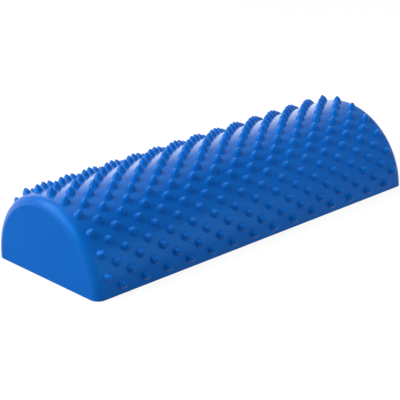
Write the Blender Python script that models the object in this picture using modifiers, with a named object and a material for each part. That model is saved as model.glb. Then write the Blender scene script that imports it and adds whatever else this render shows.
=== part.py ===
"""Textured half roller: a hollow half cylinder of soft PVC, filled with air and covered in nubs.

Metres, +Z up, +X along the roller. The origin is the middle of the flat underside.
The skin is an arch with nubs, welded to two rounded end caps, and open underneath, where a flat panel
closes it. The valve is in the end cap at +X.
"""

import math

import bmesh
import bpy
from mathutils import Matrix

# Moulded skin: the arch and the end caps, which meet where the rounded rims begin
LENGTH = 0.400
ARCH_RADIUS = 0.078
WALL = 0.003
RIM_RADIUS = 0.0085
RIM_SEGMENTS = 4

# Nubs, in rows that run along the roller, each row half a pitch off the next
NUB_BASE_RADIUS = 0.0045
NUB_TIP_RADIUS = 0.0011
NUB_HEIGHT = 0.0074
NUB_ROOT = 0.0012
NUB_PITCH = 0.0264
NUB_ROW_SPACING = 0.01028
NUB_EDGE_MARGIN = 0.003
NUB_SIDES = 6

# Underside: a panel in the skin's lower edge, held against a ledge
PANEL_THICKNESS = 0.003
LEDGE_WIDTH = 0.005
LEDGE_THICKNESS = 0.003
CORNER_SEGMENTS = 4

# Valve: a grommet with a lip outside the end wall and a collar behind it, and its stopper
VALVE_HEIGHT = 0.033
VALVE_SIDES = 24
BOSS_RADIUS = 0.0125
BOSS_DEPTH = 0.0025
SEAT_INSET = 0.0004
LIP_RADIUS = 0.0100
LIP_THICKNESS = 0.0012
NECK_RADIUS = 0.0070
COLLAR_RADIUS = 0.0095
COLLAR_THICKNESS = 0.0015
SLEEVE_WALL = 0.0023
SLEEVE_LENGTH = 0.010
BORE_RADIUS = 0.0035
HEAD_RADIUS = 0.0050
HEAD_THICKNESS = 0.0012
STEM_LENGTH = 0.012
STEM_TAPER = 0.0004
STEM_TIP_CHAMFER = 0.0010
NAIL_SLOT_WIDTH = 0.0030
NAIL_SLOT_REACH = 0.0014
NAIL_SLOT_DEPTH = 0.0009

# Between touching pieces, past a cut face, and for points that are one
FIT_GAP = 0.0003
OVERRUN = 0.001
WELD_DISTANCE = 0.00001

# A facet narrower than this share of the others is left out of an arch
LEAST_FACET_SHARE = 0.25
FLAT_ANGLE = math.radians(0.5)
SHARP_ANGLE = math.radians(35.0)

SKIN_BLUE = (0.018, 0.130, 0.440, 1.0)
PANEL_BLUE = (0.014, 0.110, 0.390, 1.0)
VALVE_BLUE = (0.012, 0.085, 0.310, 1.0)
PLUG_WHITE = (0.720, 0.730, 0.740, 1.0)


def clear_scene():
    """Remove whatever the opened scene holds."""
    for obj in list(bpy.data.objects):
        bpy.data.objects.remove(obj, do_unlink=True)


def new_collection(name):
    """Add a collection to the scene."""
    collection = bpy.data.collections.new(name)
    bpy.context.scene.collection.children.link(collection)
    return collection


def new_material(name, colour, roughness):
    """Make a plain Principled material for soft, non-metallic plastic."""
    material = bpy.data.materials.new(name)
    material.use_nodes = True
    shader = material.node_tree.nodes["Principled BSDF"]
    shader.inputs["Base Color"].default_value = colour
    shader.inputs["Roughness"].default_value = roughness
    shader.inputs["Metallic"].default_value = 0.0
    material.diffuse_color = colour
    return material


def object_from_bmesh(name, bm, collection):
    """Turn a bmesh into an object and free the bmesh."""
    mesh = bpy.data.meshes.new(name)
    bm.to_mesh(mesh)
    bm.free()
    obj = bpy.data.objects.new(name, mesh)
    collection.objects.link(obj)
    return obj


def as_cutter(obj):
    """Show an object as wire only, because it shapes others and is no part itself."""
    obj.hide_render = True
    obj.display_type = "WIRE"
    return obj


def add_boolean(obj, tool, operation):
    """Join a tool to an object or cut it away."""
    modifier = obj.modifiers.new(f"{operation.title()} {tool.name}", "BOOLEAN")
    modifier.operation = operation
    modifier.solver = "EXACT"
    modifier.object = tool


def shade_round(obj):
    """Shade a piece smooth and keep its real edges sharp."""
    obj.data.shade_smooth()
    obj.data.set_sharp_from_angle(angle=SHARP_ANGLE)


def seam_place():
    """Distance from the middle of the roller to either end of the arch."""
    return LENGTH / 2 - RIM_RADIUS


def nub_row_step():
    """Angle around the arch from one row of nubs to the next."""
    return NUB_ROW_SPACING / ARCH_RADIUS


def nub_row_offsets():
    """Rows counted from the one on the crest, as far down as the base edge leaves room."""
    room = ARCH_RADIUS * math.pi / 2 - NUB_BASE_RADIUS - NUB_EDGE_MARGIN
    rows_a_side = int(room / NUB_ROW_SPACING)
    return range(-rows_a_side, rows_a_side + 1)


def nub_places_along(row):
    """Distances of one row's nubs from the middle of the roller, clear of the rounded rims."""
    shift_share = 0.5 * (row % 2)
    room = seam_place() - NUB_BASE_RADIUS
    last = int(room / NUB_PITCH - shift_share)
    right = [(index + shift_share) * NUB_PITCH for index in range(last + 1)]
    left = [-place for place in right if place > 0]
    return left + right


def facet_angles():
    """Angles of the arch's creases, midway between rows so that each row lies on its own facet."""
    step = nub_row_step()
    rows = nub_row_offsets()
    first = math.pi / 2 + (rows[0] - 0.5) * step
    return [first + index * step for index in range(len(rows) + 1)]


def arch_outline(radius, floor):
    """Points across a half circle that is cut off level at a height above the underside."""
    foot = math.asin(floor / radius)
    least = LEAST_FACET_SHARE * nub_row_step()
    creases = [a for a in facet_angles() if foot + least < a < math.pi - foot - least]
    angles = [foot, *creases, math.pi - foot]
    return [(radius * math.cos(angle), radius * math.sin(angle)) for angle in angles]


def prism_bmesh(outline, half_length):
    """Extrude an outline in Y and Z along X, by way of a filled 2D curve."""
    curve = bpy.data.curves.new("outline", "CURVE")
    curve.dimensions = "2D"
    curve.fill_mode = "BOTH"
    curve.extrude = half_length
    spline = curve.splines.new("POLY")
    spline.points.add(len(outline) - 1)
    for point, (across, up) in zip(spline.points, outline):
        point.co = (across, up, 0.0, 1.0)
    spline.use_cyclic_u = True
    guide = bpy.data.objects.new("outline", curve)
    bpy.context.scene.collection.objects.link(guide)
    mesh = bpy.data.meshes.new_from_object(guide.evaluated_get(bpy.context.evaluated_depsgraph_get()))
    bpy.data.objects.remove(guide, do_unlink=True)
    bm = bmesh.new()
    bm.from_mesh(mesh)
    bpy.data.meshes.remove(mesh)
    bmesh.ops.remove_doubles(bm, verts=bm.verts, dist=WELD_DISTANCE)
    bmesh.ops.dissolve_limit(bm, angle_limit=FLAT_ANGLE, verts=bm.verts, edges=bm.edges)
    along_x = Matrix(((0, 0, 1, 0), (1, 0, 0, 0), (0, 1, 0, 0), (0, 0, 0, 1)))
    bmesh.ops.transform(bm, matrix=along_x, verts=bm.verts)
    bmesh.ops.recalc_face_normals(bm, faces=bm.faces)
    return bm


def arch_solid(name, radius, half_length, floor, rim_radius, collection):
    """Half cylinder along X whose two ends are rounded into the arch, but not into its floor."""
    bm = prism_bmesh(arch_outline(radius, floor), half_length)
    rims = []
    for edge in bm.edges:
        middle = (edge.verts[0].co + edge.verts[1].co) / 2
        across_end = abs(edge.verts[0].co.x - edge.verts[1].co.x) < WELD_DISTANCE
        if across_end and middle.z > floor + WELD_DISTANCE:
            rims.append(edge)
    bmesh.ops.bevel(
        bm,
        geom=rims,
        offset=rim_radius,
        offset_type="OFFSET",
        segments=RIM_SEGMENTS,
        profile=0.5,
        affect="EDGES",
        clamp_overlap=True,
    )
    bmesh.ops.recalc_face_normals(bm, faces=bm.faces)
    return object_from_bmesh(name, bm, collection)


def rounded_slab(name, length, width, low, high, corner_radius, collection):
    """Flat slab between two heights with rounded corners in plan."""
    bm = bmesh.new()
    place = Matrix.Translation((0.0, 0.0, (low + high) / 2))
    size = Matrix.Diagonal((length, width, high - low, 1.0))
    bmesh.ops.create_cube(bm, size=1.0, matrix=place @ size)
    corners = []
    for edge in bm.edges:
        run = edge.verts[1].co - edge.verts[0].co
        if abs(run.z) > max(abs(run.x), abs(run.y)):
            corners.append(edge)
    bmesh.ops.bevel(
        bm,
        geom=corners,
        offset=corner_radius,
        offset_type="OFFSET",
        segments=CORNER_SEGMENTS,
        profile=0.5,
        affect="EDGES",
        clamp_overlap=True,
    )
    return object_from_bmesh(name, bm, collection)


def turned(name, profile, closed, collection):
    """Turn a profile of radius and depth about the valve's axis, depth counted in from the end plane."""
    bm = bmesh.new()
    points = [bm.verts.new((radius, 0.0, -depth)) for radius, depth in profile]
    for first, second in zip(points, points[1:]):
        bm.edges.new((first, second))
    if closed:
        bm.edges.new((points[-1], points[0]))
    obj = object_from_bmesh(name, bm, collection)
    screw = obj.modifiers.new("Turn", "SCREW")
    screw.axis = "Z"
    screw.angle = math.tau
    screw.steps = VALVE_SIDES
    screw.render_steps = VALVE_SIDES
    screw.use_merge_vertices = True
    screw.merge_threshold = WELD_DISTANCE
    screw.use_smooth_shade = True
    return on_valve_axis(obj)


def on_valve_axis(obj):
    """Place an object made about Z on the valve's axis, its +Z pointing out of the end wall."""
    obj.location = (LENGTH / 2, 0.0, VALVE_HEIGHT)
    obj.rotation_euler = (0.0, math.pi / 2, 0.0)
    return obj


def nub_bmesh():
    """Every nub as a tapered post with its root in the wall."""
    slope = (NUB_BASE_RADIUS - NUB_TIP_RADIUS) / NUB_HEIGHT
    root_radius = NUB_BASE_RADIUS + slope * NUB_ROOT
    depth = NUB_HEIGHT + NUB_ROOT
    facet_height = ARCH_RADIUS * math.cos(nub_row_step() / 2)
    middle = facet_height + NUB_HEIGHT - depth / 2
    bm = bmesh.new()
    for row in nub_row_offsets():
        lean = Matrix.Rotation(row * nub_row_step(), 4, "X")
        for along in nub_places_along(row):
            stand = Matrix.Translation((along, 0.0, middle))
            bmesh.ops.create_cone(
                bm,
                cap_ends=True,
                segments=NUB_SIDES,
                radius1=root_radius,
                radius2=NUB_TIP_RADIUS,
                depth=depth,
                matrix=lean @ stand,
            )
    return bm


def wall_behind_lip():
    """Depth of the end wall's inner face at the valve, where its boss thickens it."""
    return WALL + BOSS_DEPTH


def lip_depth():
    """Depth of the lip's underside."""
    return SEAT_INSET + LIP_THICKNESS


def make_hollow(cutters):
    """Cutters that arch and caps share: the air chamber, the ledge's opening and the panel's pocket."""
    pocket_top = PANEL_THICKNESS + FIT_GAP
    chamber_floor = pocket_top + LEDGE_THICKNESS
    inner_radius = ARCH_RADIUS - WALL
    inner_length = LENGTH - 2 * WALL
    inner_rim = RIM_RADIUS - WALL
    chamber = arch_solid("air_chamber", inner_radius, inner_length / 2, chamber_floor, inner_rim, cutters)
    ledge_opening = rounded_slab(
        "ledge_opening",
        inner_length - 2 * LEDGE_WIDTH,
        2 * (inner_radius - LEDGE_WIDTH),
        -OVERRUN,
        chamber_floor + OVERRUN,
        inner_rim,
        cutters,
    )
    pocket = rounded_slab(
        "panel_pocket", inner_length, 2 * inner_radius, -OVERRUN, pocket_top, inner_rim, cutters
    )
    return [as_cutter(tool) for tool in (chamber, ledge_opening, pocket)]


def make_textured_arch(hollow, parts, cutters):
    """Arch with its nubs in one moulding, open at both ends and underneath."""
    bm = prism_bmesh(arch_outline(ARCH_RADIUS, 0.0), seam_place())
    arch = object_from_bmesh("textured_arch", bm, parts)
    nubs = as_cutter(object_from_bmesh("nubs", nub_bmesh(), cutters))
    add_boolean(arch, nubs, "UNION")
    for tool in hollow:
        add_boolean(arch, tool, "DIFFERENCE")
    shade_round(arch)
    return arch


def make_end_cap(name, side, hollow, parts, cutters):
    """End wall with its rounded rim, side +1 or -1, as far in as its seam with the arch."""
    cap = arch_solid(name, ARCH_RADIUS, LENGTH / 2, 0.0, RIM_RADIUS, parts)
    bm = bmesh.new()
    seam_face = seam_place() + FIT_GAP
    place = Matrix.Translation((side * (seam_face - LENGTH / 2), 0.0, 0.0))
    size = Matrix.Diagonal((LENGTH, 4 * ARCH_RADIUS, 4 * ARCH_RADIUS, 1.0))
    bmesh.ops.create_cube(bm, size=1.0, matrix=place @ size)
    rest_of_roller = as_cutter(object_from_bmesh(f"{name}_seam", bm, cutters))
    for tool in (rest_of_roller, *hollow):
        add_boolean(cap, tool, "DIFFERENCE")
    shade_round(cap)
    return cap


def add_valve_hole(cap, cutters):
    """Thicken a cap's end wall behind the valve and cut the hole that the grommet sits in."""
    boss = turned(
        "valve_boss",
        [(0.0, WALL / 2), (BOSS_RADIUS, WALL / 2), (BOSS_RADIUS, wall_behind_lip()), (0.0, wall_behind_lip())],
        False,
        cutters,
    )
    recess_depth = lip_depth() + FIT_GAP
    hole_radius = NECK_RADIUS + FIT_GAP
    hole = turned(
        "valve_hole",
        [
            (0.0, -OVERRUN),
            (LIP_RADIUS + FIT_GAP, -OVERRUN),
            (LIP_RADIUS + FIT_GAP, recess_depth),
            (hole_radius, recess_depth),
            (hole_radius, wall_behind_lip() + OVERRUN),
            (0.0, wall_behind_lip() + OVERRUN),
        ],
        False,
        cutters,
    )
    add_boolean(cap, as_cutter(boss), "UNION")
    add_boolean(cap, as_cutter(hole), "DIFFERENCE")


def make_base_panel(parts):
    """Flat underside, clear of the pocket's walls and of the ledge above it."""
    return rounded_slab(
        "base_panel",
        LENGTH - 2 * (WALL + FIT_GAP),
        2 * (ARCH_RADIUS - WALL - FIT_GAP),
        0.0,
        PANEL_THICKNESS,
        RIM_RADIUS - WALL - FIT_GAP,
        parts,
    )


def make_valve_seat(parts, cutters):
    """Grommet: a lip in the wall's recess, a neck through the wall, a collar and a sleeve behind it."""
    collar_face = wall_behind_lip() + FIT_GAP
    collar_back = collar_face + COLLAR_THICKNESS
    sleeve_end = collar_back + SLEEVE_LENGTH
    sleeve_radius = BORE_RADIUS + SLEEVE_WALL
    dish_radius = HEAD_RADIUS + FIT_GAP
    dish_floor = SEAT_INSET + HEAD_THICKNESS + FIT_GAP
    profile = [
        (LIP_RADIUS, SEAT_INSET),
        (LIP_RADIUS, lip_depth()),
        (NECK_RADIUS, lip_depth()),
        (NECK_RADIUS, collar_face),
        (COLLAR_RADIUS, collar_face),
        (COLLAR_RADIUS, collar_back),
        (sleeve_radius, collar_back),
        (sleeve_radius, sleeve_end),
        (BORE_RADIUS, sleeve_end),
        (BORE_RADIUS, dish_floor),
        (dish_radius, dish_floor),
        (dish_radius, SEAT_INSET),
    ]
    seat = turned("valve_seat", profile, True, parts)
    slot_length = 2 * (dish_radius + NAIL_SLOT_REACH)
    slot_depth = NAIL_SLOT_DEPTH + OVERRUN
    bm = bmesh.new()
    size = Matrix.Diagonal((NAIL_SLOT_WIDTH, slot_length, slot_depth, 1.0))
    place = Matrix.Translation((0.0, 0.0, slot_depth / 2 - SEAT_INSET - NAIL_SLOT_DEPTH))
    bmesh.ops.create_cube(bm, size=1.0, matrix=place @ size)
    slot = on_valve_axis(object_from_bmesh("nail_slot", bm, cutters))
    add_boolean(seat, as_cutter(slot), "DIFFERENCE")
    return seat


def make_valve_plug(parts):
    """Stopper with a flat head and a tapered stem, level with the lip when it is in."""
    stem_top = SEAT_INSET + HEAD_THICKNESS
    stem_end = stem_top + STEM_LENGTH
    root_radius = BORE_RADIUS - FIT_GAP
    tip_radius = root_radius - STEM_TAPER
    profile = [
        (0.0, SEAT_INSET),
        (HEAD_RADIUS, SEAT_INSET),
        (HEAD_RADIUS, stem_top),
        (root_radius, stem_top),
        (tip_radius, stem_end - STEM_TIP_CHAMFER),
        (tip_radius - STEM_TIP_CHAMFER, stem_end),
        (0.0, stem_end),
    ]
    return turned("valve_plug", profile, False, parts)


def main():
    """Build the roller and its cutters."""
    clear_scene()
    parts = new_collection("textured_half_roller")
    cutters = new_collection("cutters")
    hollow = make_hollow(cutters)
    valve_cap = make_end_cap("end_cap_valve", 1, hollow, parts, cutters)
    add_valve_hole(valve_cap, cutters)
    pieces = [
        (make_textured_arch(hollow, parts, cutters), SKIN_BLUE, 0.35),
        (make_end_cap("end_cap_plain", -1, hollow, parts, cutters), SKIN_BLUE, 0.35),
        (valve_cap, SKIN_BLUE, 0.35),
        (make_base_panel(parts), PANEL_BLUE, 0.45),
        (make_valve_seat(parts, cutters), VALVE_BLUE, 0.45),
        (make_valve_plug(parts), PLUG_WHITE, 0.40),
    ]
    for piece, colour, roughness in pieces:
        piece.data.materials.append(new_material(piece.name, colour, roughness))


main()
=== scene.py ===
"""Looks of the textured half roller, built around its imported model.

Metres, +Z up, +X along the roller towards the end wall that holds the valve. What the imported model
fixes is read from it, and the sizes that only the looks need are named in the classes below.
"""

import logging
import math
from collections.abc import Callable, Iterable, Sequence
from dataclasses import dataclass, field, replace
from enum import Enum
from itertools import pairwise

import bmesh
import bpy
from mathutils import Matrix, Vector
from mathutils.geometry import delaunay_2d_cdt


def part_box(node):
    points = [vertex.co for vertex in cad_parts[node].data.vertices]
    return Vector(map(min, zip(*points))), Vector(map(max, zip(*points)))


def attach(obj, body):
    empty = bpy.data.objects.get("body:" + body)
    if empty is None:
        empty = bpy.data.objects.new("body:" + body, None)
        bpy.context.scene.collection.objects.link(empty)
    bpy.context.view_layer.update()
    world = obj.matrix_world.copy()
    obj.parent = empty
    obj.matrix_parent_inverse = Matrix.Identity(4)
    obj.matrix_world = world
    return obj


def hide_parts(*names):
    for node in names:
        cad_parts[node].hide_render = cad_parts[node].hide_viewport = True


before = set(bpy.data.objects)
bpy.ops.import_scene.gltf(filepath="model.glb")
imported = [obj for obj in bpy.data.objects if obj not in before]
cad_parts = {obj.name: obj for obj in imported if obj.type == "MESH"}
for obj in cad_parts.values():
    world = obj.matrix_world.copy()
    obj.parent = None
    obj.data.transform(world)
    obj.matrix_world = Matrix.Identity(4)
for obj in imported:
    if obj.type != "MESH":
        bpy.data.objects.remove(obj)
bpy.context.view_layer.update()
LOG = logging.getLogger("half_roller")

MILLIMETRE = 0.001
FIT_GAP = 0.3 * MILLIMETRE
SAME_POINT = 0.001 * MILLIMETRE
FOOT_BAND = 0.01 * MILLIMETRE
CREASE = math.radians(50.0)
QUARTER_TURN = math.pi / 2
RIM_START = math.radians(12.0)
SQUARE_ON = math.cos(math.radians(0.2))
RIM_SLACK = 0.002
END_MARGIN = 1 / 3
ROUND_BEVEL = 0.5
MIX_FIRST, MIX_SECOND, MIX_RESULT = 6, 7, 2
NUB_HEIGHT = "nub_height"

Loop = list[bmesh.types.BMVert]
Profile = list[tuple[float, float]]
Colour = tuple[float, float, float]
Point = tuple[float, float, float]
Socket = bpy.types.NodeSocket
SocketFeeds = dict[str | int, Socket | float | str | tuple[float, ...]]


class Side(Enum):
    """The roller's two end walls, by the direction they face along X."""

    PLAIN_END = -1
    VALVE_END = 1


@dataclass(frozen=True)
class RollerSizes:
    """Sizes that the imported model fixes."""

    half_length: float
    arch_radius: float
    nub_rise: float
    wall: float
    panel_half_length: float
    panel_half_width: float
    panel_thickness: float
    valve_height: float

    @classmethod
    def from_frame(cls) -> "RollerSizes":
        """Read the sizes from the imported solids.

        Returns:
            RollerSizes: lengths in metres.
        """
        panel_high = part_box("base_panel")[1]
        plug_low, plug_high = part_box("valve_plug")
        foot = [v.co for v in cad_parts["textured_arch"].data.vertices if v.co.z < FOOT_BAND]
        arch_radius = max(abs(co.y) for co in foot)
        return cls(
            half_length=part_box("end_cap_valve")[1].x,
            arch_radius=arch_radius,
            nub_rise=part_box("textured_arch")[1].z - arch_radius,
            wall=arch_radius - panel_high.y - FIT_GAP,
            panel_half_length=panel_high.x,
            panel_half_width=panel_high.y,
            panel_thickness=panel_high.z,
            valve_height=(plug_low.z + plug_high.z) / 2,
        )

    def about_valve(self, depth: float, radius: float, turn: float) -> Point:
        """A point by its depth in from the valve's end wall, and its radius and turn about the axis."""
        across, up = radius * math.cos(turn), radius * math.sin(turn)
        return self.half_length - depth, across, self.valve_height + up


def mesh_object(name: str, mesh: bpy.types.Mesh) -> bpy.types.Object:
    """Link a new object that holds a mesh.

    Args:
        name: the piece's name.
        mesh: its mesh, already in place.

    Returns:
        bpy.types.Object: the linked object, at the origin.
    """
    obj = bpy.data.objects.new(name, mesh)
    bpy.context.scene.collection.objects.link(obj)
    return obj


def object_from_bmesh(name: str, bm: bmesh.types.BMesh) -> bpy.types.Object:
    """Turn a bmesh into a linked object and free it.

    Args:
        name: the piece's name.
        bm: the finished bmesh.

    Returns:
        bpy.types.Object: the linked object.
    """
    mesh = bpy.data.meshes.new(name)
    bm.to_mesh(mesh)
    bm.free()
    return mesh_object(name, mesh)


def evaluated_copy(obj: bpy.types.Object) -> bpy.types.Mesh:
    """Take an object's mesh with its modifiers applied, and remove the object.

    Args:
        obj: the object to use up.

    Returns:
        bpy.types.Mesh: the plain mesh.
    """
    graph = bpy.context.evaluated_depsgraph_get()
    mesh = bpy.data.meshes.new_from_object(obj.evaluated_get(graph), depsgraph=graph)
    bpy.data.objects.remove(obj, do_unlink=True)
    return mesh


def new_loop(bm: bmesh.types.BMesh, points: Iterable[Sequence[float]]) -> Loop:
    """Add a vertex for each point.

    Args:
        bm: the bmesh to add to.
        points: places in metres.

    Returns:
        Loop: the new vertices in order.
    """
    return [bm.verts.new(point) for point in points]


def add_bands(bm: bmesh.types.BMesh, rows: Sequence[Loop], closed: bool = True) -> None:
    """Join each row of vertices to the next with four-sided faces.

    Args:
        bm: the bmesh that holds the rows.
        rows: two or more rows of as many vertices.
        closed: whether the last vertices of each row join back to the first.
    """
    for first, second in pairwise(rows):
        for index in range(len(first) if closed else len(first) - 1):
            after = (index + 1) % len(first)
            corners = dict.fromkeys((first[index], first[after], second[after], second[index]))
            if len(corners) > 2:
                bm.faces.new(corners)


def fill_outline(bm: bmesh.types.BMesh, rows: Sequence[Loop], normal: Vector) -> None:
    """Fill a flat area, with holes, that rows of vertices bound.

    Args:
        bm: the bmesh that holds the rows.
        rows: closed or end-to-end rows of vertices.
        normal: the way the face looks.
    """
    edges = []
    for row in rows:
        for first, second in pairwise(row):
            edges.append(bm.edges.get((first, second)) or bm.edges.new((first, second)))
    bmesh.ops.triangle_fill(bm, edges=edges, use_beauty=True, use_dissolve=False, normal=normal)


def open_edges(bm: bmesh.types.BMesh) -> int:
    """Count the edges that don't join exactly two faces."""
    return sum(1 for edge in bm.edges if len(edge.link_faces) != 2)


def finished_piece(name: str, bm: bmesh.types.BMesh) -> bpy.types.Object:
    """Merge a piece's doubled points, turn its faces outwards and link it as an object.

    Args:
        name: the piece's name.
        bm: its whole bmesh, used up.

    Returns:
        bpy.types.Object: the linked object.
    """
    bmesh.ops.remove_doubles(bm, verts=bm.verts, dist=SAME_POINT)
    bmesh.ops.recalc_face_normals(bm, faces=bm.faces)
    LOG.info("%s: %d faces, %d open edges", name, len(bm.faces), open_edges(bm))
    return object_from_bmesh(name, bm)


def dress(obj: bpy.types.Object, *materials: bpy.types.Material) -> bpy.types.Object:
    """Shade a piece round with sharp creases and give it its materials.

    Args:
        obj: the piece.
        *materials: its materials, in the order of its slots.

    Returns:
        bpy.types.Object: the same piece.
    """
    obj.data.materials.clear()
    for material in materials:
        obj.data.materials.append(material)
    obj.data.shade_smooth()
    obj.data.set_sharp_from_angle(angle=CREASE)
    return obj


def full_turn(count: int) -> list[float]:
    """Angles that divide a whole turn evenly, from zero."""
    return [math.tau * index / count for index in range(count)]


def spaced(end: float, step: float) -> list[float]:
    """Places at whole steps from zero out to an end on either side, with the two ends.

    Args:
        end: the distance from zero to each end.
        step: the distance between places.

    Returns:
        list[float]: the places in rising order, none of them close to an end.
    """
    inner = end - step * END_MARGIN
    first, last = math.ceil(-inner / step), math.floor(inner / step)
    return [-end, *(index * step for index in range(first, last + 1)), end]


def rim_point(share: float, reach: float) -> tuple[float, float]:
    """A point of the rim's rounding, an arc that leaves the end wall at a slight angle.

    Args:
        share: 0 at the end wall, 1 at the arch.
        reach: how far the rounding goes along each of the two.

    Returns:
        tuple[float, float]: how far the point lies in from the end wall, and in from the arch.
    """
    turn = RIM_START + (QUARTER_TURN - RIM_START) * share
    back = (math.cos(RIM_START) - math.cos(turn)) / math.cos(RIM_START)
    down = (1 - math.sin(turn)) / (1 - math.sin(RIM_START))
    return reach * back, reach * down


@dataclass(frozen=True)
class PlanOutline:
    """Closed outline of the roller seen from above, a rectangle with round corners."""

    half_length: float
    half_width: float
    corner: float
    along_shares: tuple[float, ...]
    across_shares: tuple[float, ...]
    corner_steps: int

    def points(self, height: float) -> list[Vector]:
        """Points of the outline at a height, starting at the +X wall and going round by +Y.

        Args:
            height: their height in metres.

        Returns:
            list[Vector]: the points.
        """
        straight_x = self.half_length - self.corner
        straight_y = self.half_width - self.corner
        found: list[Vector] = []
        for turn, (sign_x, sign_y) in enumerate(((1.0, 1.0), (-1.0, 1.0), (-1.0, -1.0), (1.0, -1.0))):
            if turn % 2 == 0:
                end_x = sign_x * self.half_length
                wall = [(end_x, sign_y * share * straight_y) for share in self.across_shares]
            else:
                side_y = sign_y * self.half_width
                wall = [(sign_x * share * straight_x, side_y) for share in self.along_shares]
            found += [Vector((x, y, height)) for x, y in wall]
            for step in range(1, self.corner_steps):
                share = step / self.corner_steps
                back, down = rim_point(share if turn % 2 == 0 else 1 - share, self.corner)
                corner = (sign_x * (self.half_length - back), sign_y * (self.half_width - down), height)
                found.append(Vector(corner))
        return found

    def inset(self, width: float) -> "PlanOutline":
        """The outline a width further in, with its corners turned about the same centres."""
        return replace(
            self,
            half_length=self.half_length - width,
            half_width=self.half_width - width,
            corner=self.corner - width,
        )


@dataclass(frozen=True)
class NubShape:
    """One nub: a bullet whose side curves in to a blunt tip, with a small fillet at its foot."""

    rise: float
    base_radius: float = 4.6 * MILLIMETRE
    fullness: float = 1.45
    bluntness: float = 0.75
    fillet: float = 0.35 * MILLIMETRE
    sides: int = 12
    side_shares: tuple[float, ...] = (0.0, 0.34, 0.64, 0.87)

    def foot_radius(self) -> float:
        """Radius at which the fillet runs out into the skin."""
        return self.base_radius + self.fillet

    def profile(self) -> Profile:
        """Radius and height of each ring, from the foot up to the last one under the tip."""
        rings: Profile = [(self.foot_radius(), 0.0)]
        for share in self.side_shares:
            height = self.fillet + share * (self.rise - self.fillet)
            rings.append((self.base_radius * (1 - share**self.fullness) ** self.bluntness, height))
        return rings

    def ring_points(self, radius: float, height: float) -> list[Vector]:
        """Points of one ring about the Z axis."""
        turns = full_turn(self.sides)
        return [Vector((radius * math.cos(turn), radius * math.sin(turn), height)) for turn in turns]

    def build(self) -> bpy.types.Object:
        """Build one nub, open at its foot, standing on the origin."""
        bm = bmesh.new()
        rings = [new_loop(bm, self.ring_points(radius, height)) for radius, height in self.profile()]
        add_bands(bm, rings)
        tip = bm.verts.new((0.0, 0.0, self.rise))
        for index, vert in enumerate(rings[-1]):
            bm.faces.new((vert, rings[-1][(index + 1) % self.sides], tip))
        return object_from_bmesh("one_nub", bm)


@dataclass
class NodeTree:
    """A node tree under construction, with short calls for its nodes."""

    tree: bpy.types.NodeTree

    def node(self, kind: str, feeds: SocketFeeds | None = None, **settings: object) -> bpy.types.Node:
        """Add a node, set its properties, and feed or set its inputs.

        Args:
            kind: the node's type, such as ShaderNodeTexNoise.
            feeds: input name or index to the socket or the plain value that feeds it.
            **settings: node properties.

        Returns:
            bpy.types.Node: the new node.
        """
        node = self.tree.nodes.new(kind)
        for name, value in settings.items():
            setattr(node, name, value)
        for target, source in (feeds or {}).items():
            if isinstance(source, Socket):
                self.tree.links.new(source, node.inputs[target])
            else:
                node.inputs[target].default_value = source
        return node

    def maths(self, operation: str, *values: Socket | float) -> Socket:
        """Add a Math node on sockets or plain values and return its result."""
        return self.node("ShaderNodeMath", dict(enumerate(values)), operation=operation).outputs[0]


@dataclass
class GeometryTree(NodeTree):
    """A geometry node tree, run on an object as a modifier.

    Its named inputs are given as the kind of each, such as Float, and its value.
    """

    inputs: dict[str, tuple[str, object]]
    sockets: dict[str, str] = field(default_factory=dict)
    source: bpy.types.Node = field(init=False)
    target: bpy.types.Node = field(init=False)

    def __post_init__(self) -> None:
        """Start the tree with a geometry input and output and its named inputs."""
        self.tree.is_modifier = True
        add = self.tree.interface.new_socket
        for way in ("INPUT", "OUTPUT"):
            add("Geometry", in_out=way, socket_type="NodeSocketGeometry")
        for name, (kind, _) in self.inputs.items():
            self.sockets[name] = add(name, in_out="INPUT", socket_type=f"NodeSocket{kind}").identifier
        self.source = self.node("NodeGroupInput")
        self.target = self.node("NodeGroupOutput")

    def value(self, name: str) -> Socket:
        """The group input of that name."""
        return self.source.outputs[name]

    def end_with(self, socket: Socket) -> None:
        """Make a socket the tree's result."""
        self.tree.links.new(socket, self.target.inputs["Geometry"])

    def apply_to(self, obj: bpy.types.Object) -> bpy.types.Mesh:
        """Run the tree on an object and take the result as a plain mesh.

        Args:
            obj: the object to use up.

        Returns:
            bpy.types.Mesh: the result.
        """
        modifier = obj.modifiers.new(self.tree.name, "NODES")
        modifier.node_group = self.tree
        for name, (_, value) in self.inputs.items():
            modifier[self.sockets[name]] = value
        return evaluated_copy(obj)


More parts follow.
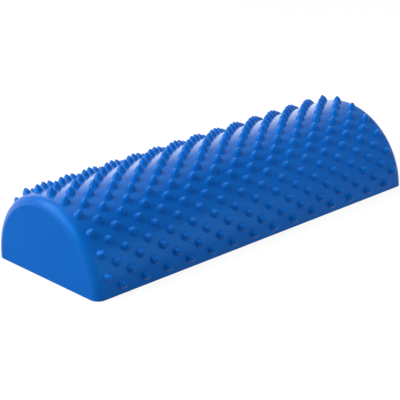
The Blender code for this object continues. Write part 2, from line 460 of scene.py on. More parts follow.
@dataclass
class StuddedSkin:
    """Moulded skin: the arch with its nubs, the end walls with their rounded rims, and the inside."""

    sizes: RollerSizes
    pitch: float = 26.4 * MILLIMETRE
    row_spacing: float = 10.28 * MILLIMETRE
    rows_a_side: int = 11
    nubs_in_crest_row: int = 15
    rim: float = 8.5 * MILLIMETRE
    base_edge: float = 0.6 * MILLIMETRE
    base_edge_bands: int = 3
    ledge_width: float = 5.0 * MILLIMETRE
    ledge_thickness: float = 3.0 * MILLIMETRE
    boss_radius: float = 12.5 * MILLIMETRE
    boss_depth: float = 2.5 * MILLIMETRE
    recess_radius: float = 10.3 * MILLIMETRE
    recess_depth: float = 1.9 * MILLIMETRE
    hole_radius: float = 7.3 * MILLIMETRE
    hole_sides: int = 64
    rim_bands: int = 10
    stations_a_pitch: int = 8
    lines_a_row: int = 4
    wall_stations: int = 28
    inner_arch_bands: int = 30
    foot_clearance: float = 0.7 * MILLIMETRE
    nub: NubShape = field(init=False)

    def __post_init__(self) -> None:
        """Take the nub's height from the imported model."""
        self.nub = NubShape(rise=self.sizes.nub_rise)

    @property
    def straight_half(self) -> float:
        """Half the length of the arch between its rounded rims."""
        return self.sizes.half_length - self.rim

    @property
    def foot_angle(self) -> float:
        """Angle from the crest down to where the arch meets the rounding of its base edge."""
        return math.acos(self.base_edge / self.sizes.arch_radius)

    def nub_centres(self) -> list[tuple[float, float]]:
        """Places of the nubs on the unrolled arch: along the roller, and round from the crest."""
        centres = []
        for row in range(-self.rows_a_side, self.rows_a_side + 1):
            in_row = self.nubs_in_crest_row - row % 2
            first = -(in_row - 1) / 2
            centres += [((first + index) * self.pitch, row * self.row_spacing) for index in range(in_row)]
        return centres

    def is_under_nub(self, along: float, round_: float, reach: float) -> bool:
        """Whether a place on the unrolled arch lies within a distance of a nub's centre."""
        near_row = round(round_ / self.row_spacing)
        for row in range(near_row - 1, near_row + 2):
            if abs(row) > self.rows_a_side:
                continue
            shift = 0.5 * (row % 2)
            column = round(along / self.pitch - shift) + shift
            limit = (self.nubs_in_crest_row - 1 - row % 2) / 2
            column = max(-limit, min(limit, column))
            gap = math.hypot(along - column * self.pitch, round_ - row * self.row_spacing)
            if gap < reach:
                return True
        return False

    def along_stations(self) -> list[float]:
        """Places along the straight arch where its faces are divided."""
        return spaced(self.straight_half, self.pitch / self.stations_a_pitch)

    def round_stations(self) -> list[float]:
        """Places round the unrolled arch, from the crest, where its faces are divided."""
        end = self.sizes.arch_radius * self.foot_angle
        return spaced(end, self.row_spacing / self.lines_a_row)

    def ground_sheet(self) -> bpy.types.Object:
        """The unrolled arch as a flat sheet with a round hole under each nub."""
        foot = self.nub.foot_radius()
        points: list[Vector] = []
        edges: list[tuple[int, int]] = []
        ring = [point.to_2d() for point in self.nub.ring_points(foot, 0.0)]
        for centre in self.nub_centres():
            first = len(points)
            points += [Vector(centre) + offset for offset in ring]
            count = len(ring)
            edges += [(first + index, first + (index + 1) % count) for index in range(count)]
        keep_off = foot + self.foot_clearance
        for round_ in self.round_stations():
            for along in self.along_stations():
                if not self.is_under_nub(along, round_, keep_off):
                    points.append(Vector((along, round_)))
        verts, _, faces, *_ = delaunay_2d_cdt(points, edges, [], 0, SAME_POINT)
        bm = bmesh.new()
        made = new_loop(bm, ((point.x, point.y, 0.0) for point in verts))
        inside = foot * math.cos(math.pi / self.nub.sides)
        for face in faces:
            middle = sum((verts[index] for index in face), Vector((0.0, 0.0))) / len(face)
            if not self.is_under_nub(middle.x, middle.y, inside):
                bm.faces.new([made[index] for index in face])
        return object_from_bmesh("ground_sheet", bm)

    def arch_tree(self, nub: bpy.types.Object, skin: bpy.types.Material) -> GeometryTree:
        """Node tree that stands the nubs in their rows on the flat sheet and bends it over the arch.

        Args:
            nub: one nub, standing on the origin.
            skin: the skin's material.

        Returns:
            GeometryTree: the tree with its inputs' values.
        """
        inputs = {
            "Nub": ("Object", nub),
            "Pitch": ("Float", self.pitch),
            "Row Spacing": ("Float", self.row_spacing),
            "Nubs In Crest Row": ("Int", self.nubs_in_crest_row),
            "Rows A Side": ("Int", self.rows_a_side),
            "Arch Radius": ("Float", self.sizes.arch_radius),
            "Nub Rise": ("Float", self.nub.rise),
            "Weld Distance": ("Float", SAME_POINT),
            "Skin": ("Material", skin),
        }
        build = GeometryTree(bpy.data.node_groups.new("studded_arch", "GeometryNodeTree"), inputs)
        one_nub = build.node("GeometryNodeObjectInfo", {"Object": build.value("Nub")}).outputs["Geometry"]
        stood = []
        for fewer in (0, 1):
            in_row = build.maths("SUBTRACT", build.value("Nubs In Crest Row"), float(fewer))
            rows = build.maths("ADD", build.value("Rows A Side"), float(fewer))
            length = build.maths("MULTIPLY", build.maths("SUBTRACT", in_row, 1.0), build.value("Pitch"))
            rows_apart = build.maths("MULTIPLY", build.value("Row Spacing"), 2.0)
            width = build.maths("MULTIPLY", build.maths("SUBTRACT", rows, 1.0), rows_apart)
            grid = build.node(
                "GeometryNodeMeshGrid",
                {"Size X": length, "Size Y": width, "Vertices X": in_row, "Vertices Y": rows},
            )
            feeds = {"Points": grid.outputs["Mesh"], "Instance": one_nub}
            stood.append(build.node("GeometryNodeInstanceOnPoints", feeds).outputs["Instances"])
        joined = build.node("GeometryNodeJoinGeometry")
        for socket in (*stood, build.value("Geometry")):
            build.tree.links.new(socket, joined.inputs["Geometry"])
        real = build.node("GeometryNodeRealizeInstances", {"Geometry": joined.outputs["Geometry"]})
        place = build.node("ShaderNodeSeparateXYZ", {0: build.node("GeometryNodeInputPosition").outputs[0]})
        along, round_, height = place.outputs
        rise = build.maths("DIVIDE", height, build.value("Nub Rise"))
        marked = build.node(
            "GeometryNodeStoreNamedAttribute",
            {"Geometry": real.outputs["Geometry"], "Name": NUB_HEIGHT, "Value": rise},
            data_type="FLOAT",
            domain="POINT",
        )
        angle = build.maths("DIVIDE", round_, build.value("Arch Radius"))
        radius = build.maths("ADD", height, build.value("Arch Radius"))
        across = build.maths("MULTIPLY", radius, build.maths("SINE", angle))
        up = build.maths("MULTIPLY", radius, build.maths("COSINE", angle))
        bent = build.node("ShaderNodeCombineXYZ", {"X": along, "Y": across, "Z": up})
        moved = build.node(
            "GeometryNodeSetPosition",
            {"Geometry": marked.outputs["Geometry"], "Position": bent.outputs["Vector"]},
        )
        welded = build.node(
            "GeometryNodeMergeByDistance",
            {"Geometry": moved.outputs["Geometry"], "Distance": build.value("Weld Distance")},
        )
        dressed = build.node(
            "GeometryNodeSetMaterial",
            {"Geometry": welded.outputs["Geometry"], "Material": build.value("Skin")},
        )
        build.end_with(dressed.outputs["Geometry"])
        return build

    def studded_arch(self, skin: bpy.types.Material) -> bpy.types.Mesh:
        """The arch between its rims, with every nub in place and welded to it.

        Args:
            skin: the skin's material.

        Returns:
            bpy.types.Mesh: the arch's mesh.
        """
        nub = self.nub.build()
        mesh = self.arch_tree(nub, skin).apply_to(self.ground_sheet())
        bpy.data.objects.remove(nub, do_unlink=True)
        return mesh

    def outline(self, half_length: float, half_width: float, corner: float) -> PlanOutline:
        """An outline in plan whose divisions match those of the arch."""
        along = tuple(place / self.straight_half for place in self.along_stations())
        across = tuple(2 * index / self.wall_stations - 1 for index in range(self.wall_stations + 1))
        return PlanOutline(half_length, half_width, corner, along, across, self.rim_bands)

    def add_end(
        self,
        bm: bmesh.types.BMesh,
        side: Side,
        plan: PlanOutline,
        radius: float,
        floor: float,
        angles: Sequence[float],
        opening: Loop | None,
    ) -> None:
        """Add one rounded rim and its flat end wall.

        Args:
            bm: the bmesh to add to.
            side: which end.
            plan: the outline at the wall's lower edge.
            radius: the arch's radius.
            floor: the height of the wall's lower edge.
            angles: angles from the crest of the arch's division lines, the two ends at the floor.
            opening: a closed row of vertices left open in the wall, if there is one.
        """
        rows = []
        for step in range(plan.corner_steps + 1):
            back, shrink = rim_point(1 - step / plan.corner_steps, plan.corner)
            along = side.value * (plan.half_length - back)
            reach = radius - shrink
            ring = [Vector((along, reach * math.sin(a), reach * math.cos(a))) for a in angles]
            for end in (0, -1):
                ring[end] = Vector((along, math.copysign(plan.half_width - shrink, angles[end]), floor))
            rows.append(new_loop(bm, ring))
        add_bands(bm, rows, closed=False)
        reach = plan.half_width - plan.corner
        foot = [(side.value * plan.half_length, share * reach, floor) for share in plan.across_shares]
        if rows[-1][0].co.y < 0:
            foot.reverse()
        lower = [rows[-1][-1], *new_loop(bm, foot[1:-1]), rows[-1][0]]
        bounds = [rows[-1], lower]
        if opening:
            bounds.append([*opening, opening[0]])
        fill_outline(bm, bounds, Vector((side.value, 0.0, 0.0)))

    def circle(self, bm: bmesh.types.BMesh, depth: float, radius: float) -> Loop:
        """A ring of vertices about the valve's axis, a depth in from the end wall."""
        return new_loop(bm, (self.sizes.about_valve(depth, radius, t) for t in full_turn(self.hole_sides)))

    def add_inside(self, bm: bmesh.types.BMesh) -> None:
        """Add the base edge, the panel's pocket and ledge, the chamber, the end walls and the valve hole."""
        sizes = self.sizes
        foot_half_width = sizes.arch_radius * math.sin(self.foot_angle)
        outer = self.outline(sizes.half_length, foot_half_width, self.rim)
        loops = []
        for band in range(self.base_edge_bands + 1):
            angle = QUARTER_TURN * band / self.base_edge_bands
            inset = self.base_edge * (1 - math.cos(angle))
            loops.append(new_loop(bm, outer.inset(inset).points(self.base_edge * (1 - math.sin(angle)))))
        pocket_top = sizes.panel_thickness + FIT_GAP
        floor = pocket_top + self.ledge_thickness
        pocket = outer.inset(sizes.wall)
        ledge = self.outline(
            pocket.half_length - self.ledge_width,
            pocket.half_width - self.ledge_width,
            pocket.corner,
        )
        inner_radius = sizes.arch_radius - sizes.wall
        inner_foot = math.acos(floor / inner_radius)
        chamber = self.outline(pocket.half_length, inner_radius * math.sin(inner_foot), pocket.corner)
        loops += [
            new_loop(bm, pocket.points(0.0)),
            new_loop(bm, pocket.points(pocket_top)),
            new_loop(bm, ledge.points(pocket_top)),
            new_loop(bm, ledge.points(floor)),
            new_loop(bm, chamber.points(floor)),
        ]
        add_bands(bm, loops)
        count = self.inner_arch_bands
        angles = [inner_foot * (1 - 2 * index / count) for index in range(count + 1)]
        rows = []
        for angle in angles:
            across, up = inner_radius * math.sin(angle), inner_radius * math.cos(angle)
            rows.append(new_loop(bm, ((x, across, up) for x in self.along_stations())))
        for row in (rows[0], rows[-1]):
            for vert in row:
                vert.co.z = floor
        add_bands(bm, rows, closed=False)
        boss_face = sizes.wall + self.boss_depth
        rings = [
            self.circle(bm, 0.0, self.recess_radius),
            self.circle(bm, self.recess_depth, self.recess_radius),
            self.circle(bm, self.recess_depth, self.hole_radius),
            self.circle(bm, boss_face, self.hole_radius),
            self.circle(bm, boss_face, self.boss_radius),
            self.circle(bm, sizes.wall, self.boss_radius),
        ]
        add_bands(bm, rings)
        self.add_end(bm, Side.PLAIN_END, chamber, inner_radius, floor, angles, None)
        self.add_end(bm, Side.VALVE_END, chamber, inner_radius, floor, angles, rings[-1])
        arch_angles = [place / sizes.arch_radius for place in self.round_stations()]
        self.add_end(bm, Side.PLAIN_END, outer, sizes.arch_radius, self.base_edge, arch_angles, None)
        self.add_end(bm, Side.VALVE_END, outer, sizes.arch_radius, self.base_edge, arch_angles, rings[0])

    def true_normal(self, place: Vector, face: bpy.types.MeshPolygon) -> Vector:
        """The smooth form's own normal at a corner of a face on the arch, a rim or an end wall.

        Args:
            place: the corner.
            face: the face that has it.

        Returns:
            Vector: the normal, or zero where the face belongs to another form.
        """
        nothing = Vector((0.0, 0.0, 0.0))
        if abs(face.normal.x) > SQUARE_ON:
            return Vector((math.copysign(1.0, face.normal.x), 0.0, 0.0))
        if min(place.z, face.center.z) < self.base_edge - FOOT_BAND:
            return nothing
        radial = Vector((0.0, place.y, place.z))
        radius = radial.length
        past = abs(place.x) - self.straight_half
        if past <= FOOT_BAND:
            return radial / radius if abs(radius - self.sizes.arch_radius) < FOOT_BAND else nothing
        towards_end = math.cos(RIM_START) * past / self.rim
        towards_arch = 1 - (1 - math.sin(RIM_START)) * (self.sizes.arch_radius - radius) / self.rim
        if abs(math.hypot(towards_end, towards_arch) - 1) > RIM_SLACK:
            return nothing
        along = math.copysign(towards_end * math.cos(RIM_START), place.x)
        out = towards_arch * (1 - math.sin(RIM_START))
        return (Vector((along, 0.0, 0.0)) + radial * (out / radius)).normalized()

    def is_end_wall(self, face: bpy.types.MeshPolygon) -> bool:
        """Whether a face lies in the flat outside of an end wall."""
        return abs(face.normal.x) > SQUARE_ON and abs(face.center.x) > self.sizes.half_length - FOOT_BAND

    def build(self, finish: "SoftPlastic", wall_finish: "SoftPlastic") -> bpy.types.Object:
        """Build the whole skin and dress it.

        Args:
            finish: the skin's finish.
            wall_finish: the finish of the flat end walls.

        Returns:
            bpy.types.Object: the finished piece.
        """
        material = finish.material()
        arch = self.studded_arch(material)
        bm = bmesh.new()
        bm.from_mesh(arch)
        bpy.data.meshes.remove(arch)
        self.add_inside(bm)
        skin = dress(finished_piece("roller_skin", bm), material, wall_finish.material())
        LOG.info("roller_skin: %d nubs", len(self.nub_centres()))
        normals = [Vector((0.0, 0.0, 0.0))] * len(skin.data.loops)
        for face in skin.data.polygons:
            face.material_index = int(self.is_end_wall(face))
            for index in face.loop_indices:
                place = skin.data.vertices[skin.data.loops[index].vertex_index].co
                normals[index] = self.true_normal(place, face)
        skin.data.normals_split_custom_set(normals)
        return skin


def rounded_profile(corners: Profile, roundings: Sequence[float], steps: int) -> Profile:
    """Round the corners of a turned piece's profile.

    Args:
        corners: radius and depth of each corner.
        roundings: how far each corner's rounding reaches along its two edges.
        steps: divisions of a rounding.

    Returns:
        Profile: the rounded profile, a corner with no rounding kept as it is.
    """
    points: Profile = []
    last = len(corners) - 1
    for index, (corner, reach) in enumerate(zip(corners, roundings, strict=True)):
        here = Vector(corner)
        if reach == 0 or index in (0, last):
            points.append(tuple(here))
            continue
        before = here + (Vector(corners[index - 1]) - here).normalized() * reach
        after = here + (Vector(corners[index + 1]) - here).normalized() * reach
        for step in range(steps + 1):
            share = step / steps
            point = before * (1 - share) ** 2 + here * 2 * share * (1 - share) + after * share**2
            points.append(tuple(point))
    return points


@dataclass
class Valve:
    """Air valve in the end wall: a soft grommet and the stopper that is pushed into it."""

    sizes: RollerSizes
    steps: int = 64
    round_steps: int = 3
    neck_radius: float = 7.0 * MILLIMETRE
    collar_radius: float = 9.5 * MILLIMETRE
    collar_thickness: float = 1.5 * MILLIMETRE
    lip_thickness: float = 1.2 * MILLIMETRE
    wall_at_boss: float = 5.5 * MILLIMETRE
    sleeve_radius: float = 5.8 * MILLIMETRE
    bore_radius: float = 3.5 * MILLIMETRE
    head_thickness: float = 1.2 * MILLIMETRE
    stem_taper: float = 0.4 * MILLIMETRE
    stem_chamfer: float = 1.0 * MILLIMETRE
    edge: float = 0.35 * MILLIMETRE
    dimple_radius: float = 2.4 * MILLIMETRE
    dimple_depth: float = 0.25 * MILLIMETRE
    slot_width: float = 3.0 * MILLIMETRE
    slot_reach: float = 1.4 * MILLIMETRE
    slot_depth: float = 0.9 * MILLIMETRE
    slot_edge: float = 0.5 * MILLIMETRE

    def turned(self, name: str, profile: Profile, closed: bool) -> bpy.types.Object:
        """Turn a profile of radius and depth about the valve's axis.

        Args:
            name: the piece's name.
            profile: radius and depth in from the end plane of each point.
            closed: whether the profile is a closed loop.

        Returns:
            bpy.types.Object: the turned piece.
        """
        bm = bmesh.new()
        rows: list[Loop] = []
        for turn in full_turn(self.steps):
            points = (self.sizes.about_valve(depth, radius, turn) for radius, depth in profile)
            rows.append(new_loop(bm, points))
        add_bands(bm, [*rows, rows[0]], closed=closed)
        return finished_piece(name, bm)

    def grommet(self, finish: "SoftPlastic") -> bpy.types.Object:
        """Lip in the wall's recess, neck through the wall, collar and sleeve behind it, and a nail slot."""
        seat_low, seat_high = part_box("valve_seat")
        head_radius = (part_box("valve_plug")[1].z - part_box("valve_plug")[0].z) / 2
        face = self.sizes.half_length - seat_high.x
        sleeve_end = self.sizes.half_length - seat_low.x
        lip_radius = (seat_high.z - seat_low.z) / 2
        lip_back = face + self.lip_thickness
        collar_face = self.wall_at_boss + FIT_GAP
        collar_back = collar_face + self.collar_thickness
        dish_radius = head_radius + FIT_GAP
        dish_floor = face + self.head_thickness + FIT_GAP
        corners = [
            (lip_radius, face),
            (lip_radius, lip_back),
            (self.neck_radius, lip_back),
            (self.neck_radius, collar_face),
            (self.collar_radius, collar_face),
            (self.collar_radius, collar_back),
            (self.sleeve_radius, collar_back),
            (self.sleeve_radius, sleeve_end),
            (self.bore_radius, sleeve_end),
            (self.bore_radius, dish_floor),
            (dish_radius, dish_floor),
            (dish_radius, face),
        ]
        middle = ((lip_radius + dish_radius) / 2, face)
        looped = [middle, *corners, middle]
        rounded = rounded_profile(looped, [0.0, *[self.edge] * len(corners), 0.0], self.round_steps)
        grommet = self.turned("valve_grommet", rounded[:-1], closed=True)
        slot = self.nail_slot(face, dish_radius)
        cut = grommet.modifiers.new("Nail slot", "BOOLEAN")
        cut.operation = "DIFFERENCE"
        cut.solver = "EXACT"
        cut.object = slot
        mesh = evaluated_copy(grommet)
        bpy.data.objects.remove(slot, do_unlink=True)
        return dress(mesh_object("valve_grommet", mesh), finish.material())

    def nail_slot(self, face: float, dish_radius: float) -> bpy.types.Object:
        """Cutter for the slot that lets a fingernail under the stopper's head."""
        bm = bmesh.new()
        depth = 2 * self.slot_depth
        size = Matrix.Diagonal((depth, 2 * (dish_radius + self.slot_reach), self.slot_width, 1.0))
        place = Matrix.Translation((self.sizes.half_length - face, 0.0, self.sizes.valve_height))
        bmesh.ops.create_cube(bm, size=1.0, matrix=place @ size)
        bmesh.ops.bevel(
            bm,
            geom=bm.edges,
            offset=self.slot_edge,
            segments=self.round_steps,
            profile=ROUND_BEVEL,
            affect="EDGES",
        )
        return object_from_bmesh("nail_slot", bm)

    def stopper(self, finish: "SoftPlastic") -> bpy.types.Object:
        """Flat head with a shallow dimple, and a tapered stem with a chamfered end."""
        plug_low, plug_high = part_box("valve_plug")
        face = self.sizes.half_length - plug_high.x
        stem_end = self.sizes.half_length - plug_low.x
        head_radius = (plug_high.z - plug_low.z) / 2
        root_radius = self.bore_radius - FIT_GAP
        tip_radius = root_radius - self.stem_taper
        corners = [
            (0.0, face + self.dimple_depth),
            (self.dimple_radius - self.edge, face + self.dimple_depth),
            (self.dimple_radius + self.edge, face),
            (head_radius, face),
            (head_radius, face + self.head_thickness),
            (root_radius, face + self.head_thickness),
            (tip_radius, stem_end - self.stem_chamfer),
            (tip_radius - self.stem_chamfer, stem_end),
            (0.0, stem_end),
        ]
        roundings = [0.0] + [self.edge] * (len(corners) - 2) + [0.0]
        profile = rounded_profile(corners, roundings, self.round_steps)
        return dress(self.turned("valve_stopper", profile, closed=False), finish.material())


@dataclass
class Underside:
    """Flat panel that closes the skin from below."""

    sizes: RollerSizes
    plan: PlanOutline
    edge: float = 0.4 * MILLIMETRE
    edge_bands: int = 3
    hold: float = 0.6 * MILLIMETRE

    def build(self, finish: "SoftPlastic") -> bpy.types.Object:
        """Build the panel with its rounded edges and dress it."""
        thick = self.sizes.panel_thickness
        bm = bmesh.new()
        steps = range(self.edge_bands + 1)
        angles = [QUARTER_TURN * step / self.edge_bands for step in steps]
        rounded = [(self.edge * (1 - math.sin(a)), self.edge * (1 - math.cos(a))) for a in angles]
        lower = [(self.edge + self.hold, 0.0)] + [(inset, height) for height, inset in reversed(rounded)]
        upper = [(inset, thick - height) for inset, height in reversed(lower)]
        loops = [new_loop(bm, self.plan.inset(inset).points(height)) for inset, height in [*lower, *upper]]
        add_bands(bm, loops)
        bm.faces.new(loops[0])
        bm.faces.new(loops[-1])
        return dress(finished_piece("underside_panel", bm), finish.material())


class ShaderTree(NodeTree):
    """A shader node tree under construction, of a material, a world or a shared group."""

    def spread(self, value: Socket, low: float, high: float, to_low: float, to_high: float) -> Socket:
        """Carry a value over from one range to another, eased at both ends."""
        feeds = {"Value": value, "From Min": low, "From Max": high, "To Min": to_low, "To Max": to_high}
        return self.node("ShaderNodeMapRange", feeds, interpolation_type="SMOOTHSTEP").outputs["Result"]

    def blend(self, share: Socket, first: Colour, second: Colour) -> Socket:
        """Mix two colours, the second in full where the share is 1."""
        feeds = {"Factor": share, MIX_FIRST: (*first, 1.0), MIX_SECOND: (*second, 1.0)}
        return self.node("ShaderNodeMix", feeds, data_type="RGBA").outputs[MIX_RESULT]


@dataclass
class SharedEffect:
    """A shader node group with named inputs, built once and placed in each material that uses it."""

    name: str
    inputs: dict[str, float]
    output: str
    fill: Callable[[ShaderTree, bpy.types.Node], Socket]

    def group(self) -> bpy.types.ShaderNodeTree:
        """The group's tree, made the first time it is asked for."""
        found = bpy.data.node_groups.get(self.name)
        if found:
            return found
        tree = bpy.data.node_groups.new(self.name, "ShaderNodeTree")
        tree.interface.new_socket("Place", in_out="INPUT", socket_type="NodeSocketVector")
        for name, usual in self.inputs.items():
            socket = tree.interface.new_socket(name, in_out="INPUT", socket_type="NodeSocketFloat")
            socket.default_value = usual
        tree.interface.new_socket(self.output, in_out="OUTPUT", socket_type="NodeSocketFloat")
        source = tree.nodes.new("NodeGroupInput")
        target = tree.nodes.new("NodeGroupOutput")
        result = self.fill(ShaderTree(tree), source)
        tree.links.new(result, target.inputs[self.output])
        return tree

    def place(self, material: ShaderTree, place: Socket, **values: float) -> Socket:
        """Put the group in a material.

        Args:
            material: the material's tree.
            place: the coordinates that the effect lies on.
            **values: the material's own values, by input name with _ for each space.

        Returns:
            Socket: the effect's result.
        """
        node = material.node("ShaderNodeGroup", node_tree=self.group())
        material.tree.links.new(place, node.inputs["Place"])
        for name, value in values.items():
            node.inputs[name.replace("_", " ").title()].default_value = value
        return node.outputs[self.output]


# Where each effect's noise starts and ends to show, and how its parts are mixed
TONE_EDGES = (0.3, 0.7)
PEEL_TO_GRAIN = 9.0
PEEL_SHARE = 0.55
SMUDGE_EDGES = (0.55, 0.75)
STREAK_EDGES = (0.62, 0.8)
STREAK_STRETCH = (0.25, 1.0, 1.0)
STREAK_TURN = (0.2, 0.3, 0.5)
STREAK_WIDTH = 0.2
STREAK_STRENGTH = 0.6


def noise_at(tree: ShaderTree, place: Socket, size: Socket, detail: float) -> Socket:
    """Noise whose patches measure about a given size."""
    scale = tree.maths("DIVIDE", 1.0, size)
    feeds = {"Vector": place, "Scale": scale, "Detail": detail}
    return tree.node("ShaderNodeTexNoise", feeds).outputs["Fac"]


def fill_tone_drift(tree: ShaderTree, source: bpy.types.Node) -> Socket:
    """Slow drift of tone, as pigment and wall thickness vary over a moulding."""
    noise = noise_at(tree, source.outputs["Place"], source.outputs["Patch Size"], detail=2.0)
    return tree.spread(noise, *TONE_EDGES, 0.0, 1.0)


def fill_mould_grain(tree: ShaderTree, source: bpy.types.Node) -> Socket:
    """Fine pebbled grain of a blasted mould over a faint orange peel."""
    place = source.outputs["Place"]
    fine = noise_at(tree, place, source.outputs["Grain Size"], detail=3.0)
    broad_size = tree.maths("MULTIPLY", source.outputs["Grain Size"], PEEL_TO_GRAIN)
    broad = noise_at(tree, place, broad_size, detail=1.0)
    grain = tree.maths("MULTIPLY", fine, 1.0 - PEEL_SHARE)
    return tree.maths("ADD", grain, tree.maths("MULTIPLY", broad, PEEL_SHARE))


def fill_handling_marks(tree: ShaderTree, source: bpy.types.Node) -> Socket:
    """Sparse dull smudges and rubbed streaks from being handled."""
    place = source.outputs["Place"]
    size = source.outputs["Mark Size"]
    smudge = noise_at(tree, place, size, detail=4.0)
    stretched = tree.node(
        "ShaderNodeMapping",
        {"Vector": place, "Scale": STREAK_STRETCH, "Rotation": STREAK_TURN},
    ).outputs["Vector"]
    streak = noise_at(tree, stretched, tree.maths("MULTIPLY", size, STREAK_WIDTH), detail=2.0)
    smudges = tree.spread(smudge, *SMUDGE_EDGES, 0.0, 1.0)
    streaks = tree.spread(streak, *STREAK_EDGES, 0.0, 1.0)
    return tree.maths("MAXIMUM", smudges, tree.maths("MULTIPLY", streaks, STREAK_STRENGTH))


TONE_DRIFT = SharedEffect("tone_drift", {"Patch Size": 80 * MILLIMETRE}, "Tone", fill_tone_drift)
MOULD_GRAIN = SharedEffect("mould_grain", {"Grain Size": 0.6 * MILLIMETRE}, "Height", fill_mould_grain)
HANDLING_MARKS = SharedEffect("handling_marks", {"Mark Size": 30 * MILLIMETRE}, "Mask", fill_handling_marks)


@dataclass(frozen=True)
class SoftPlastic:
    """Finish of a moulded plastic or rubber surface, with the skin's own values where none is given."""

    name: str
    colour: Colour
    deep_colour: Colour
    roughness: float
    specular: float
    gloss_tint: Colour = (0.05, 0.42, 1.0)
    patch_size: float = 90 * MILLIMETRE
    grain_size: float = 0.6 * MILLIMETRE
    grain_depth: float = 0.02 * MILLIMETRE
    mark_size: float = 30 * MILLIMETRE
    mark_dulling: float = 0.05
    refraction: float = 1.5

    def tip_polish(self, tree: ShaderTree) -> Socket | None:
        """Mask of what is rubbed smoother than the rest, if anything is."""
        return None

    def material(self) -> bpy.types.Material:
        """Build the finish's material.

        Returns:
            bpy.types.Material: the node material.
        """
        made = bpy.data.materials.new(self.name)
        made.use_nodes = True
        made.diffuse_color = (*self.colour, 1.0)
        shader = made.node_tree.nodes["Principled BSDF"]
        tree = ShaderTree(made.node_tree)
        place = tree.node("ShaderNodeTexCoord").outputs["Object"]
        tone = TONE_DRIFT.place(tree, place, patch_size=self.patch_size)
        grain = MOULD_GRAIN.place(tree, place, grain_size=self.grain_size)
        marks = HANDLING_MARKS.place(tree, place, mark_size=self.mark_size)
        base = tree.blend(tone, self.deep_colour, self.colour)
        dulling = tree.maths("MULTIPLY", marks, self.mark_dulling)
        roughness = tree.maths("ADD", dulling, self.roughness)
        polish = self.tip_polish(tree)
        if polish:
            roughness = tree.maths("SUBTRACT", roughness, polish)
        bump = tree.node("ShaderNodeBump", {"Height": grain, "Distance": self.grain_depth})
        tree.tree.links.new(base, shader.inputs["Base Color"])
        tree.tree.links.new(roughness, shader.inputs["Roughness"])
        tree.tree.links.new(bump.outputs["Normal"], shader.inputs["Normal"])
        shader.inputs["IOR"].default_value = self.refraction
        shader.inputs["Specular IOR Level"].default_value = self.specular
        shader.inputs["Specular Tint"].default_value = (*self.gloss_tint, 1.0)
        return made


@dataclass(frozen=True)
class MouldedSkin(SoftPlastic):
    """Semi-gloss soft PVC of the skin, whose nubs are rubbed smoother towards their tips."""

    tip_gloss: float = 0.06
    polish_from: float = 0.25

    def tip_polish(self, tree: ShaderTree) -> Socket | None:
        """How much less rough the nubs are, growing with their height."""
        height = tree.node("ShaderNodeAttribute", attribute_name=NUB_HEIGHT).outputs["Fac"]
        return tree.spread(height, self.polish_from, 1.0, 0.0, self.tip_gloss)


SKIN = MouldedSkin(
    name="moulded_blue_skin",
    colour=(0.004, 0.130, 0.540),
    deep_colour=(0.003, 0.118, 0.495),
    roughness=0.25,
    specular=0.35,
)
END_WALL = SoftPlastic(
    name="matt_blue_end_wall",
    colour=(0.002, 0.128, 0.535),
    deep_colour=(0.0015, 0.116, 0.490),
    roughness=0.4,
    specular=0.04,
)
PANEL = SoftPlastic(
    name="satin_blue_panel",
    colour=(0.005, 0.115, 0.470),
    deep_colour=(0.004, 0.100, 0.420),
    roughness=0.45,
    specular=0.4,
    gloss_tint=(0.12, 0.45, 1.0),
    patch_size=60 * MILLIMETRE,
    grain_size=0.9 * MILLIMETRE,
    grain_depth=0.05 * MILLIMETRE,
    mark_size=25 * MILLIMETRE,
    mark_dulling=0.12,
)
GROMMET = SoftPlastic(
    name="dark_blue_rubber",
    colour=(0.004, 0.075, 0.300),
    deep_colour=(0.003, 0.064, 0.260),
    roughness=0.5,
    specular=0.4,
    gloss_tint=(0.15, 0.45, 1.0),
    patch_size=10 * MILLIMETRE,
    grain_size=0.4 * MILLIMETRE,
    grain_depth=0.02 * MILLIMETRE,
    mark_size=6 * MILLIMETRE,
    mark_dulling=0.1,
)
STOPPER = SoftPlastic(
    name="off_white_plastic",
    colour=(0.72, 0.73, 0.74),
    deep_colour=(0.66, 0.67, 0.68),
    roughness=0.38,
    specular=0.5,
    gloss_tint=(1.0, 1.0, 1.0),
    patch_size=8 * MILLIMETRE,
    grain_size=0.3 * MILLIMETRE,
    grain_depth=0.01 * MILLIMETRE,
    mark_size=4 * MILLIMETRE,
    mark_dulling=0.12,
)


@dataclass(frozen=True)
class PhotoCamera:
    """Camera at the photograph's place, found from the nubs' places in it."""

    azimuth: float = math.radians(-40.2161)
    elevation: float = math.radians(20.5779)
    roll: float = math.radians(-2.854)
    lens: float = 122.911
    sensor: float = 36.0
    distance: float = 1.35993
    aim: Point = (-0.00232147, 0.01102898, 0.01783986)
    far_limit: float = 100.0

    def build(self) -> bpy.types.Object:
        """Make the camera and the scene look through it."""
        level = math.cos(self.elevation)
        across, deep = math.sin(self.azimuth) * level, -math.cos(self.azimuth) * level
        back = Vector((across, deep, math.sin(self.elevation)))
        right = Vector((0.0, 0.0, 1.0)).cross(back).normalized()
        up = back.cross(right)
        turned = Matrix((right, up, back)).transposed().to_4x4() @ Matrix.Rotation(self.roll, 4, "Z")
        data = bpy.data.cameras.new("photo_camera")
        data.lens = self.lens
        data.sensor_width = self.sensor
        data.clip_end = self.far_limit
        camera = bpy.data.objects.new("photo_camera", data)
        camera.matrix_world = Matrix.Translation(Vector(self.aim) + back * self.distance) @ turned
        bpy.context.scene.collection.objects.link(camera)
        bpy.context.scene.camera = camera
        return camera


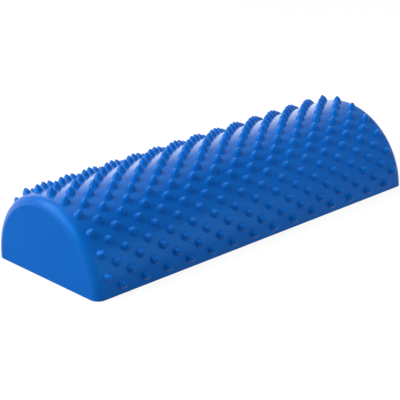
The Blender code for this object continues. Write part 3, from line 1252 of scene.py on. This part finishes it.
@dataclass(frozen=True)
class SoftBox:
    """A square soft lamp at a place in the studio, turned towards a point of the roller."""

    name: str
    place: Point
    aim_x: float
    size: float
    radiance: float
    aim_height: float = 0.03

    def build(self) -> bpy.types.Object:
        """Make the lamp, hidden from the camera."""
        data = bpy.data.lights.new(self.name, "AREA")
        data.shape = "SQUARE"
        data.size = self.size
        data.energy = self.radiance * math.pi * self.size**2
        lamp = bpy.data.objects.new(self.name, data)
        away = Vector(self.place) - Vector((self.aim_x, 0.0, self.aim_height))
        turn = away.to_track_quat("Z", "Y").to_matrix().to_4x4()
        lamp.matrix_world = Matrix.Translation(Vector(self.place)) @ turn
        lamp.visible_camera = False
        bpy.context.scene.collection.objects.link(lamp)
        return lamp


@dataclass
class Studio:
    """Pale floor, plain surroundings and soft lamps.

    The floor throws floor_colour back on the roller. To the eye it glows at floor_seen and adds what
    floor_shade catches of the lamps, which leaves the roller's shadow in it.
    """

    floor_size: float = 12.0
    floor_colour: Colour = (0.35, 0.35, 0.35)
    floor_shade: Colour = (0.12, 0.12, 0.12)
    floor_seen: float = 0.9
    surround_light: float = 0.1
    surround_seen: float = 1.0
    ceiling_seen: float = 0.1
    backdrop_top: float = 0.64
    ceiling_from: float = 0.76
    lamps: tuple[SoftBox, ...] = (
        SoftBox("wide_behind_left", (-1.40, 0.60, 1.60), -0.20, 2.2, 2.85),
        SoftBox("key_behind_left", (-1.10, 0.50, 0.80), -0.20, 1.2, 2.25),
        SoftBox("top_behind", (0.30, 0.30, 1.20), 0.10, 1.0, 1.05),
        SoftBox("far_behind", (0.30, 1.0, 0.60), 0.10, 0.8, 0.95),
        SoftBox("low_behind", (0.50, 0.60, 0.20), 0.17, 0.5, 1.25),
        SoftBox("low_front", (0.30, -0.80, 0.20), 0.10, 0.6, 1.9),
        SoftBox("front", (-0.10, -1.00, 0.40), -0.03, 0.8, 0.8),
    )

    def seen_rays(self, tree: ShaderTree) -> Socket:
        """1 for the rays that show the surroundings: from the camera, a gloss or a glass."""
        path = tree.node("ShaderNodeLightPath").outputs
        first = tree.maths("MAXIMUM", path["Is Camera Ray"], path["Is Glossy Ray"])
        return tree.maths("MAXIMUM", first, path["Is Transmission Ray"])

    def build_floor(self) -> bpy.types.Object:
        """Floor that looks white, keeps the roller's shadow faintly and lights it a little from below."""
        half = self.floor_size / 2
        bm = bmesh.new()
        corners = ((-half, -half, 0.0), (half, -half, 0.0), (half, half, 0.0), (-half, half, 0.0))
        bm.faces.new(new_loop(bm, corners))
        floor = object_from_bmesh("floor", bm)
        paper = bpy.data.materials.new("white_paper")
        paper.use_nodes = True
        paper.node_tree.nodes.clear()
        tree = ShaderTree(paper.node_tree)
        diffuse = tree.node("ShaderNodeBsdfDiffuse", {"Color": (*self.floor_colour, 1.0)})
        glow = tree.node("ShaderNodeEmission", {"Strength": self.floor_seen})
        seen = self.seen_rays(tree)
        lit = tree.node("ShaderNodeMixShader", {0: seen, 1: diffuse.outputs[0]})
        part_lit = tree.node("ShaderNodeBsdfDiffuse", {"Color": (*self.floor_shade, 1.0)})
        shown = tree.node("ShaderNodeAddShader", {0: glow.outputs[0], 1: part_lit.outputs[0]})
        tree.tree.links.new(shown.outputs[0], lit.inputs[2])
        tree.node("ShaderNodeOutputMaterial", {"Surface": lit.outputs[0]})
        floor.data.materials.append(paper)
        return floor

    def build_surroundings(self) -> None:
        """Plain light from all round, which a gloss sees as a white backdrop under a dim ceiling."""
        world = bpy.data.worlds.new("plain_studio")
        world.use_nodes = True
        world.node_tree.nodes.clear()
        tree = ShaderTree(world.node_tree)
        direction = tree.node("ShaderNodeTexCoord").outputs["Generated"]
        height = tree.node("ShaderNodeSeparateXYZ", {0: direction}).outputs["Z"]
        tone = (self.surround_seen, self.ceiling_seen)
        shade = tree.spread(height, self.backdrop_top, self.ceiling_from, *tone)
        lighting = tree.node("ShaderNodeBackground", {"Strength": self.surround_light})
        shown = tree.node("ShaderNodeBackground", {"Strength": shade})
        mixed = tree.node(
            "ShaderNodeMixShader",
            {0: self.seen_rays(tree), 1: lighting.outputs[0], 2: shown.outputs[0]},
        )
        tree.node("ShaderNodeOutputWorld", {"Surface": mixed.outputs[0]})
        bpy.context.scene.world = world

    def build(self) -> None:
        """Make the floor, the surroundings and the lamps, and set the plain view."""
        self.build_floor()
        self.build_surroundings()
        for lamp in self.lamps:
            lamp.build()
        bpy.context.scene.view_settings.view_transform = "Standard"


def main() -> None:
    """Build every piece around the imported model, then the camera and the studio."""
    logging.basicConfig(level=logging.INFO, format="%(name)s: %(message)s")
    PhotoCamera().build()
    sizes = RollerSizes.from_frame()
    shell = StuddedSkin(sizes)
    skin = shell.build(SKIN, END_WALL)
    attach(skin, "roller")
    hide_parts("textured_arch", "end_cap_plain", "end_cap_valve")
    LOG.info("skin dressed in %s", SKIN.name)
    corner = shell.rim - sizes.wall - FIT_GAP
    plan = shell.outline(sizes.panel_half_length, sizes.panel_half_width, corner)
    panel = Underside(sizes, plan).build(PANEL)
    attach(panel, "roller")
    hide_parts("base_panel")
    LOG.info("underside dressed in %s", PANEL.name)
    valve = Valve(sizes)
    grommet = valve.grommet(GROMMET)
    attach(grommet, "roller")
    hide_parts("valve_seat")
    LOG.info("valve grommet dressed in %s", GROMMET.name)
    stopper = valve.stopper(STOPPER)
    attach(stopper, "plug")
    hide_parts("valve_plug")
    LOG.info("valve stopper dressed in %s", STOPPER.name)
    Studio().build()


if __name__ == "__main__":
    main()
